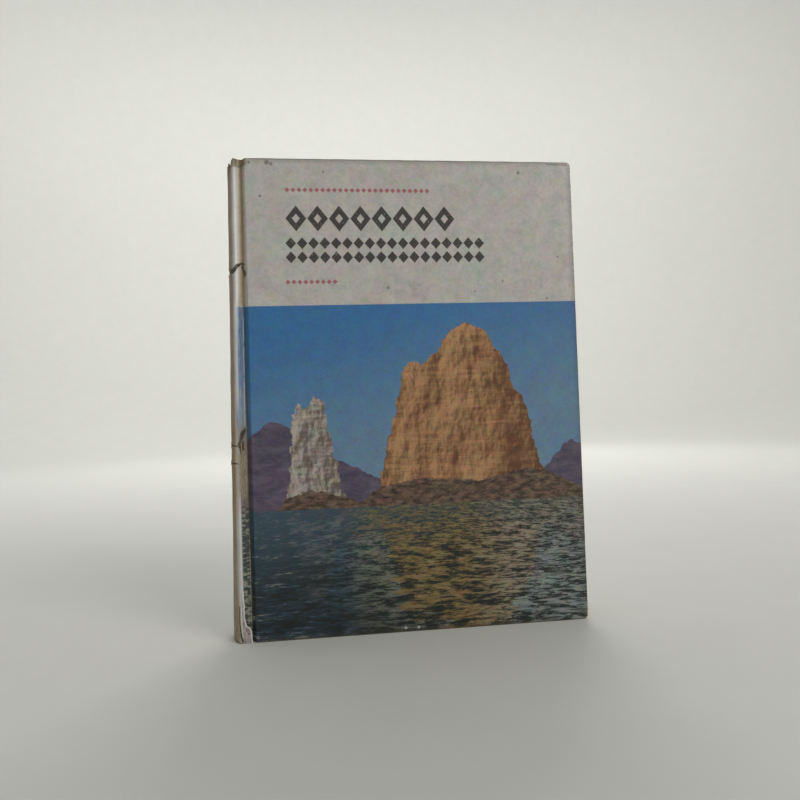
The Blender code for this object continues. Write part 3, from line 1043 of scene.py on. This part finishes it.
def make_flap():
    """A sheet from a crease on the spine to a ragged free edge that stands off over the groove."""
    stations = smooth_line(FLAP_STATIONS_MM, 110)
    s = np.linspace(0, 1, 20)[:, None]
    z_mm, crease, free, lift = (stations[None, :, k] for k in range(4))
    free = free + 0.3 * (lattice_noise(z_mm * 1.1, z_mm * 0, 97) - 0.6) * ramp(z_mm, 21.0, 18.0)
    x_mm = crease + (free - crease) * s
    profile = spine_profile()
    outward, arc_share = spine_directions(profile)
    base = np.empty(x_mm.shape)
    for column, height in enumerate(z_mm[0]):
        lean = SPINE_LEAN * (SPINE_LEAN_HEIGHT - height * MM)
        line = (profile + outward * (lean * arc_share)[:, None])[len(profile) // 2::-1] / MM
        base[:, column] = np.interp(x_mm[:, column], line[:, 0], -line[:, 1])
    base = np.maximum(base, OVER_GROOVE_MM)
    ripple = 0.22 * (lattice_noise(x_mm * 1.4, z_mm / 1.3, 95) - 0.5) * s
    y = -(base + 0.12 + lift * s**2 + ripple)
    surface = np.stack([x_mm, y, z_mm + 0 * x_mm], -1)[:, ::-1]
    from_edge = ((free - x_mm) + 0 * z_mm)[:, ::-1]
    points, faces = thin_solid(surface * MM, FLAP_PAPER)
    fields = sheet_fields(points[:, 0] / MM, points[:, 2] / MM, 0.0, np.tile(from_edge.ravel(), 2))
    piece = make_piece("tail_flap", points, faces, TORN_PAPER, fields)
    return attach(piece, "book_block")


make_flap()


# The outer joints, in the grooves beside the covers

JOINT_AT_HEAD_MM = ((-69.45, 8.88), (-69.1, 8.7), (-68.6, 8.45), (-68.00, 8.25), (-67.4, 8.22),
                    (-66.9, 8.58), (-66.5, 9.1), (-66.15, 9.62), (-65.92, 9.86), (-65.62, 9.99),
                    (-65.35, 10.015))
JOINT_AT_TAIL_MM = ((-69.45, 8.95), (-69.1, 8.75), (-68.6, 8.46), (-68.00, 8.25), (-67.5, 8.2),
                    (-66.95, 8.48), (-66.5, 9.00), (-66.15, 9.55), (-65.92, 9.82), (-65.62, 9.99),
                    (-65.35, 10.015))
JOINT_PAPER = 0.28 * MM


def make_outer_joint(word, side):
    head, tail = smooth_line(JOINT_AT_HEAD_MM, 40), smooth_line(JOINT_AT_TAIL_MM, 40)
    z = end_stations(0.7 * MM)
    share = (z / HEIGHT)[None, :, None]
    line = tail[:, None] * (1 - share) + head[:, None] * share
    x_mm, z_mm = line[..., 0], np.broadcast_to(z[None, :] / MM, line.shape[:2])
    wrinkles = lattice_noise(x_mm / 0.9, z_mm / 12, 81 + side) - 0.5
    ridges = lattice_noise(x_mm / 3, z_mm / 0.9, 84 + side) - 0.5
    relief = 0.16 * wrinkles + 0.2 * ridges * ramp(z_mm, 56, 46)
    relief -= 0.35 * ramp(tear_distance(x_mm, z_mm), 0.4, -0.1) * (side < 0)
    relief *= ramp(x_mm, -69.4, -68.9) * ramp(x_mm, -66.2, -67.0)
    near_end = np.maximum(1 - np.minimum(z, HEIGHT - z) / ARRIS, 0)
    rounded = ARRIS / MM * (1 - np.sqrt(1 - near_end**2))
    y = side * (line[..., 1] + relief - rounded[None, :]) * MM
    surface = np.stack([x_mm * MM, y, z_mm * MM], -1)
    if side < 0:
        surface = surface[:, ::-1]
        x_mm, z_mm = x_mm[:, ::-1], z_mm[:, ::-1]
    points, faces = thin_solid(surface, JOINT_PAPER, turn=-1)
    x_all, z_all = np.tile(x_mm.ravel(), 2), np.tile(z_mm.ravel(), 2)
    edge = np.minimum(z_all, HEIGHT / MM - z_all) + 0.3
    fields = sheet_fields(x_all, z_all, side, edge)
    piece = make_piece(word + "_joint_paper", points, faces, COVERING, fields)
    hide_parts(word + "_joint")
    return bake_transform(piece, "book_block", word + "_cover",
                    start=(-69.3 * MM, side * FACE_Y, 0), end=(-66.1 * MM, side * FACE_Y, 0))


# Endpapers

ENDPAPER_THICKNESS = 0.14 * MM
HINGE_THICKNESS = 0.1 * MM
FOLD_X = middle_low.x + 2.4 * MM


def paper_edge(x, z):
    """How far a place on a leaf lies from its nearest trimmed edge, in millimetres."""
    return np.minimum.reduce([z - SQUARE, LEAF_HEAD - z, first_high.x - x]) / MM


def leaf_fields(points, leaf):
    x, z = points[:, 0], points[:, 2]
    return sheet_fields(x / MM, z / MM, leaf, paper_edge(x, z))


def make_endpaper(name, surface, thickness, leaf):
    points, faces = thin_solid(surface, thickness)
    return make_piece(name, points, faces, ENDPAPER, leaf_fields(points, leaf))


def flat_surface(x, z, y):
    """A grid of points over x and z, with y as one value or a grid."""
    grid_x, grid_z = np.meshgrid(x, z, indexing="ij")
    return np.stack([grid_x, np.broadcast_to(y, grid_x.shape), grid_z], -1)


def make_endpapers(word, side):
    z = spaced(SQUARE, LEAF_HEAD, 6 * MM)
    x = spaced(BOARD_X + 0.6 * MM, sheet_high.x, 2.5 * MM)
    pasted = make_endpaper(word + "_pasted_endpaper", flat_surface(x, z, side * -sheet_low.y),
                           ENDPAPER_THICKNESS, 0.2)
    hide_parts(word + "_pastedown")
    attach(pasted, word + "_cover")

    near = spaced(FOLD_X, BOARD_X + 26 * MM, 1.0 * MM)
    x = np.concatenate([near, spaced(BOARD_X + 29 * MM, sheet_high.x, 4 * MM)])
    middle_y = -(flyleaf_low.y + flyleaf_high.y) / 2
    free = make_endpaper(word + "_free_endpaper", flat_surface(x, z, side * middle_y),
                         ENDPAPER_THICKNESS, 0.7)
    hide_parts(word + "_flyleaf", word + "_endpaper_fold")
    word + "_flyleaf"
    side * middle_y
    side * middle_y
    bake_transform(free)

    x = spaced(FOLD_X, BOARD_X + 1.2 * MM, 0.35 * MM)
    rise = ramp(x, FOLD_X + 1 * MM, BOARD_X + 0.6 * MM)[:, None]
    y = side * (middle_y + 0.16 * MM + rise * (-sheet_low.y - 0.24 * MM - middle_y))
    hinge = make_endpaper(word + "_endpaper_hinge", flat_surface(x, z, y), HINGE_THICKNESS, 0.4)
    word + "_cover"
    side * middle_y
    side * middle_y
    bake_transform(hinge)


for make in (make_outer_joint, make_endpapers):
    make("front", -1)
    make("back", 1)


# The sewn block: each section is four folded sheets, one inside another

LEAVES = 8
LEAF_THICKNESS = 0.095 * MM
LEAF_STATIONS_MM = (0, 1, 2, 3.2, 4.6, 6.2, 8, 10, 12.2, 14.6, 17.2, 20, 23, 26, 29.5, 34, 42, 52, 64, 78, 92,
                    106, 118, 128, 136)


def block_wave(x, y, z):
    """The slow waves that all the leaves share, in metres: none in the gutter or beside the covers."""
    wave = lattice_noise(x / 0.055 + 3, z / 0.048, 91) - 0.5
    return 0.55 * MM * wave * ramp(x, -0.045, 0.06) * (1 - (y / 0.0074) ** 2)


def folded_sheet(low_y, sheet, rng):
    """The surface of one folded sheet of a section, from one fore-edge round the fold to the other."""
    pitch = SECTION_DEPTH / LEAVES
    middle = low_y + SECTION_DEPTH / 2
    radius = (LEAVES / 2 - 0.5 - sheet) * pitch
    fold_x = ARC_X - math.sqrt(BACK_RADIUS**2 - middle**2) + SECTION_DEPTH / 2
    path = []
    for sign in (-1, 1):
        y = middle + sign * radius
        end = ARC_X - math.sqrt(BACK_RADIUS**2 - y**2) + LEAF_WIDTH + rng.normal(0, 0.07) * MM
        stations = [fold_x + d * MM for d in LEAF_STATIONS_MM if fold_x + d * MM < end - 4 * MM] + [end]
        leaf = [(x, y) for x in stations]
        path.append(leaf[::-1] if sign < 0 else leaf)
    turns = np.linspace(-90, 90, 7)[1:-1]
    arc = [(fold_x - radius * math.cos(t), middle + radius * math.sin(t)) for t in np.radians(turns)]
    path = np.array(path[0] + arc + path[1])
    z = spaced(SQUARE, LEAF_HEAD, 13 * MM)
    grid_z = np.broadcast_to(z[None, :], (len(path), len(z)))
    x = np.broadcast_to(path[:, :1], grid_z.shape)
    y = path[:, 1:] + block_wave(x, path[:, 1:], grid_z)
    return np.stack([x, y, grid_z], -1)


def make_section(number):
    rng = np.random.default_rng(200 + number)
    low_y = first_low.y + (number - 1) * SECTION_PITCH
    points, faces, leaves = [], [], []
    count = 0
    for sheet in range(LEAVES // 2):
        some, quads = thin_solid(folded_sheet(low_y, sheet, rng), LEAF_THICKNESS)
        points.append(some)
        faces.append(quads + count)
        leaves.append(np.full(len(some), number + sheet * 0.21))
        count += len(some)
    points, faces, leaves = np.concatenate(points), np.concatenate(faces), np.concatenate(leaves)
    name = f"section_{number:02d}"
    piece = make_piece(name + "_leaves", points, faces, LEAF_PAPER, leaf_fields(points, leaves))
    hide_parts(name)
    if name in frame["bodies"]:
        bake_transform(piece)
    else:
        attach(piece, "book_block")
    return piece


sections = [make_section(number) for number in range(1, 13)]
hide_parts("front_sewn_folds")
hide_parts("back_sewn_folds")
frame["nodes"]["spine_lining"].data.materials.clear()
frame["nodes"]["spine_lining"].data.materials.append(MULL)


# Floor, light and camera

FLOOR_RADIUS = 1.5
WALL_BEND = 0.9
WALL_TOP = 2.2


def make_floor():
    """A plain round floor that curves up into a wall."""
    angles = np.linspace(0, math.pi / 2, 11)
    profile = [(0.35, 0.0), (FLOOR_RADIUS / 2, 0.0)]
    profile += [(FLOOR_RADIUS + WALL_BEND * math.sin(a), WALL_BEND * (1 - math.cos(a))) for a in angles]
    profile += [(FLOOR_RADIUS + WALL_BEND, WALL_TOP)]
    turns = np.linspace(0, 2 * math.pi, 65)[:-1]
    points = [(r * math.cos(t), r * math.sin(t), z) for r, z in profile for t in turns]
    ring = np.arange(len(turns))
    faces = [ring.tolist()]
    for _ in profile[1:]:
        far, after = ring + len(turns), np.roll(ring, -1)
        faces += np.stack([ring, far, after + len(turns), after], -1).tolist()
        ring = far
    mesh = bpy.data.meshes.new("studio_floor")
    mesh.from_pydata(points, [], faces)
    mesh.shade_smooth()
    mesh.materials.append(floor_material())
    floor = add_object("studio_floor", mesh)


def make_light(name, position, target, size, power, colour):
    light = bpy.data.lights.new(name, "AREA")
    light.shape = "RECTANGLE"
    light.size, light.size_y = size
    light.energy = power
    light.color = colour
    lamp = add_object(name, light)
    lamp.location = position
    lamp.rotation_euler = (Vector(target) - Vector(position)).to_track_quat("-Z", "Y").to_euler()


def make_camera():
    look, up = Vector(CAMERA_LOOK).normalized(), Vector(CAMERA_UP)
    right = look.cross(up).normalized()
    up = right.cross(look)
    data = bpy.data.cameras.new("camera")
    data.sensor_width = SENSOR_MM
    data.lens = SENSOR_MM * FOCAL_PIXELS / FRAME_PIXELS
    data.clip_start = 0.01
    camera = add_object("camera", data)
    turn = Matrix((right, up, -look)).transposed()
    camera.matrix_world = Matrix.Translation(Vector(CAMERA_PLACE)) @ turn.to_4x4()
    bpy.context.scene.camera = camera


def make_world():
    world = bpy.data.worlds.new("studio")
    world.use_nodes = True
    background = world.node_tree.nodes["Background"]
    background.inputs["Color"].default_value = (0.86, 0.88, 0.9, 1)
    background.inputs["Strength"].default_value = 0.52
    bpy.context.scene.world = world


make_floor()
make_camera()
make_world()
make_light("key", (1.15, -1.15, 1.25), (0, 0, 0.1), (0.9, 0.9), 13.2, (1.0, 0.98, 0.96))
make_light("strip", (-1.0, 0.34, 0.2), (-0.07, 0, 0.1), (0.2, 0.9), 1.1, (0.97, 0.98, 1.0))
make_light("rear", (0.3, 1.1, 0.9), (0, 0, 0.1), (0.8, 0.6), 5.0, (1.0, 1.0, 1.0))
make_light("backdrop", (0, 0.75, 1.5), (0, 2.3, 0.75), (1.6, 0.5), 24.0, (1.0, 1.0, 1.0))
bpy.context.scene.view_settings.view_transform = "Standard"
